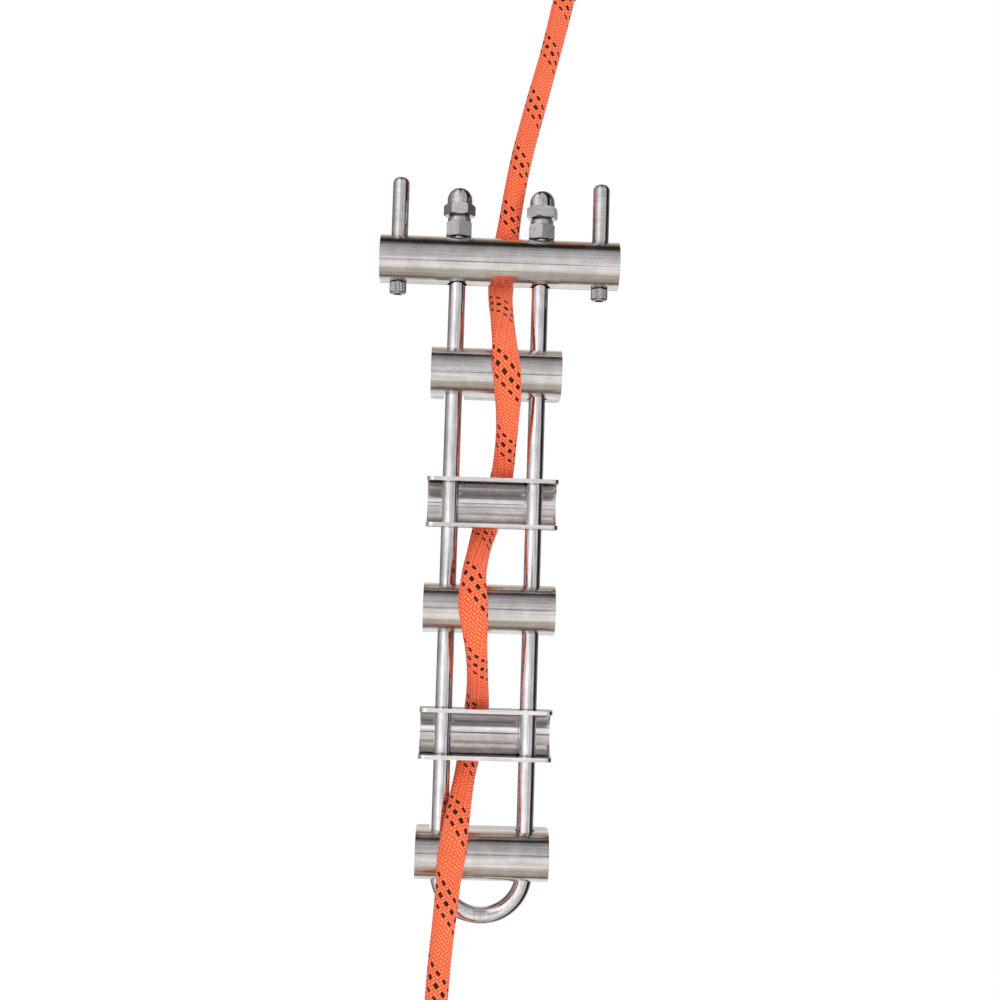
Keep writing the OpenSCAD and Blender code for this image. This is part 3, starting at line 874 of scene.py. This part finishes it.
class RACK_OT_knot(bpy.types.Operator):
    """The barrel knot at the rope's lower end"""
    bl_idname = "rack.knot"
    bl_label = "Stopper knot"

    def execute(self, context):
        """A tube carried along the knot's path: down its core, out at the foot, round
        in two and a quarter climbing turns, in at the top, and down to the tail. Its
        frame is carried on from ring to ring with the least turn."""
        settings = context.scene.rack_rope
        n = settings.strands
        theta = np.radians(np.arange(90, 841, 30))
        climb = np.linspace(-33, -8.6, len(theta))
        coil = np.stack([12.0 * np.sin(theta), -12.0 * np.cos(theta), climb], axis=-1)
        points = np.vstack([
            [(0, 0, 0), (0, 0, -8), (0.5, 0.5, -16), (0, 1.5, -24), (0.5, -1.0, -29.5),
             (6.0, -4.0, -33)], coil,
            [(-1.0, -6.0, -9.0), (0.5, -1.0, -14), (0, 0, -24), (0, 0, -36),
             (0, 0, -46), (0, 0, -54)],
        ]) * MM + KNOT_TOP
        fine = smooth_route(points, 24)
        s = along(fine)
        rows = int(s[-1] / 0.0005)
        wanted = np.linspace(0, s[-1], rows)
        centre = at_distance(fine, s, wanted)
        heading = unit(np.gradient(centre, axis=0))
        face = np.empty_like(heading)
        face[0] = unit(np.cross(heading[0], (1.0, 0, 0)))
        for i in range(1, rows):
            face[i] = unit(face[i - 1] - heading[i] * np.dot(face[i - 1], heading[i]))
        side = np.cross(heading, face)
        share = wanted / s[-1]
        inside = np.exp(-((share - 0.12) / 0.05)**4) + np.exp(-((share - 0.83) / 0.04)**4)
        r = settings.diameter / 2
        pull = np.clip(wanted / 0.02, 0, 1) * np.clip((s[-1] - wanted) / 0.02, 0, 1)
        size = r * (1 - 0.09 * pull - 0.15 * inside)
        strand = RopePath(settings)
        twist, helix = np.full(rows, strand.twist[-1]), strand.helix[-1] + wanted / HELIX
        grid = sweep(centre, side, face, size, size, twist, helix, n, settings.relief)
        # The cut end is drawn in and sealed
        shut = np.clip((s[-1] - wanted) / 0.0016, 0, 1)
        draw = (0.80 + 0.20 * np.sqrt(1 - (1 - shut)**2))[:, None, None]
        grid = centre[:, None] + (grid - centre[:, None]) * draw
        piece = skin("stopper_knot", grid, helix, grid_normals(grid), rope_sheath(settings),
                     twist)
        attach(piece, "root")
        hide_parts("rope_end_knot")
        return {"FINISHED"}


class RACK_OT_bars(bpy.types.Operator):
    """Brushed steel with a grain along the hyper bar and the brake bars"""
    bl_idname = "rack.bars"
    bl_label = "Bars"

    def execute(self, context):
        s = context.scene.rack_steel
        along_x = (14, 1100, 1100)
        dress(brushed("hyper_bar_steel", s.bar, 0.15, along_x, s.wear), "hyper_bar")
        dress(brushed("crown_steel", s.bar, 0.15, along_x, s.wear),
              "brake_bar_2", "brake_bar_4", "brake_bar_6")
        # The channels' insides get painted light and shade in bands
        dress(brushed("channel_steel", s.bar, 0.12, along_x, s.wear, inside=True),
              "brake_bar_3", "brake_bar_5")
        return {"FINISHED"}


class RACK_OT_rod(bpy.types.Operator):
    """Polished steel of the bent rod"""
    bl_idname = "rack.rod"
    bl_label = "Rod frame"

    def execute(self, context):
        s = context.scene.rack_steel
        dress(brushed("rod_steel", s.rod, 0.11, (900, 900, 60), s.wear, 0.000008),
              "u_frame")
        return {"FINISHED"}


class RACK_OT_pins(bpy.types.Operator):
    """Turned steel of the tie-off pins and the knurled screws under them"""
    bl_idname = "rack.pins"
    bl_label = "Pins and screws"

    def execute(self, context):
        s = context.scene.rack_steel
        dress(brushed("pin_steel", s.pin, 0.14, (90, 90, 1500), s.wear, 0.000003),
              "tie_off_pin_left", "tie_off_pin_right")
        dress(brushed("screw_steel", s.pin, 0.20, (700, 700, 700), s.wear, 0.00002,
                      shade=0.8),
              "pin_screw_left", "pin_screw_right")
        return {"FINISHED"}


class RACK_OT_nuts(bpy.types.Operator):
    """Acorn nuts, lock nuts and their nylon inserts"""
    bl_idname = "rack.nuts"
    bl_label = "Nuts"

    def execute(self, context):
        s = context.scene.rack_steel
        dress(brushed("acorn_steel", s.nut, 0.12, (160, 160, 1100), s.wear, 0.00001,
                      lean=(0, 0, -0.22), shade=0.80), "acorn_nut_left")
        dress(brushed("acorn_steel_turned", s.nut, 0.12, (160, 160, 1100), s.wear, 0.00001,
                      lean=(0.26, 0, -0.22), shade=0.86), "acorn_nut_right")
        dress(brushed("lock_nut_steel", s.nut, 0.30, (420, 420, 420), s.wear, 0.00003,
                      shade=0.74),
              "lock_nut_left", "lock_nut_right")
        dress(nylon(s), "lock_nut_insert_left", "lock_nut_insert_right")
        return {"FINISHED"}


class RACK_PT_panel(bpy.types.Panel):
    """Buttons and settings of the rack"""
    bl_label = "Brake bar rack"
    bl_space_type = "VIEW_3D"
    bl_region_type = "UI"
    bl_category = "Rack"

    def draw(self, context):
        for operator in OPERATORS:
            self.layout.operator(operator.bl_idname)
        for name in ("rack_stage", "rack_rope", "rack_steel"):
            group = getattr(context.scene, name)
            box = self.layout.box()
            for key in group.__annotations__:
                box.prop(group, key)


OPERATORS = (RACK_OT_stage, RACK_OT_sleeve, RACK_OT_knot, RACK_OT_rope, RACK_OT_bars,
             RACK_OT_rod, RACK_OT_pins, RACK_OT_nuts)
GROUPS = {"rack_stage": RACK_PG_stage, "rack_rope": RACK_PG_rope, "rack_steel": RACK_PG_steel}
CLASSES = (*GROUPS.values(), *OPERATORS, RACK_PT_panel)


def register():
    for cls in CLASSES:
        bpy.utils.register_class(cls)
    for name, group in GROUPS.items():
        setattr(bpy.types.Scene, name, bpy.props.PointerProperty(type=group))


def unregister():
    for name in GROUPS:
        delattr(bpy.types.Scene, name)
    for cls in reversed(CLASSES):
        bpy.utils.unregister_class(cls)


def main():
    register()
    bpy.ops.rack.stage()
    bpy.ops.rack.sleeve()
    bpy.ops.rack.knot()
    bpy.ops.rack.rope()
    bpy.ops.rack.bars()
    bpy.ops.rack.rod()
    bpy.ops.rack.pins()
    bpy.ops.rack.nuts()


if __name__ == "__main__":
    main()
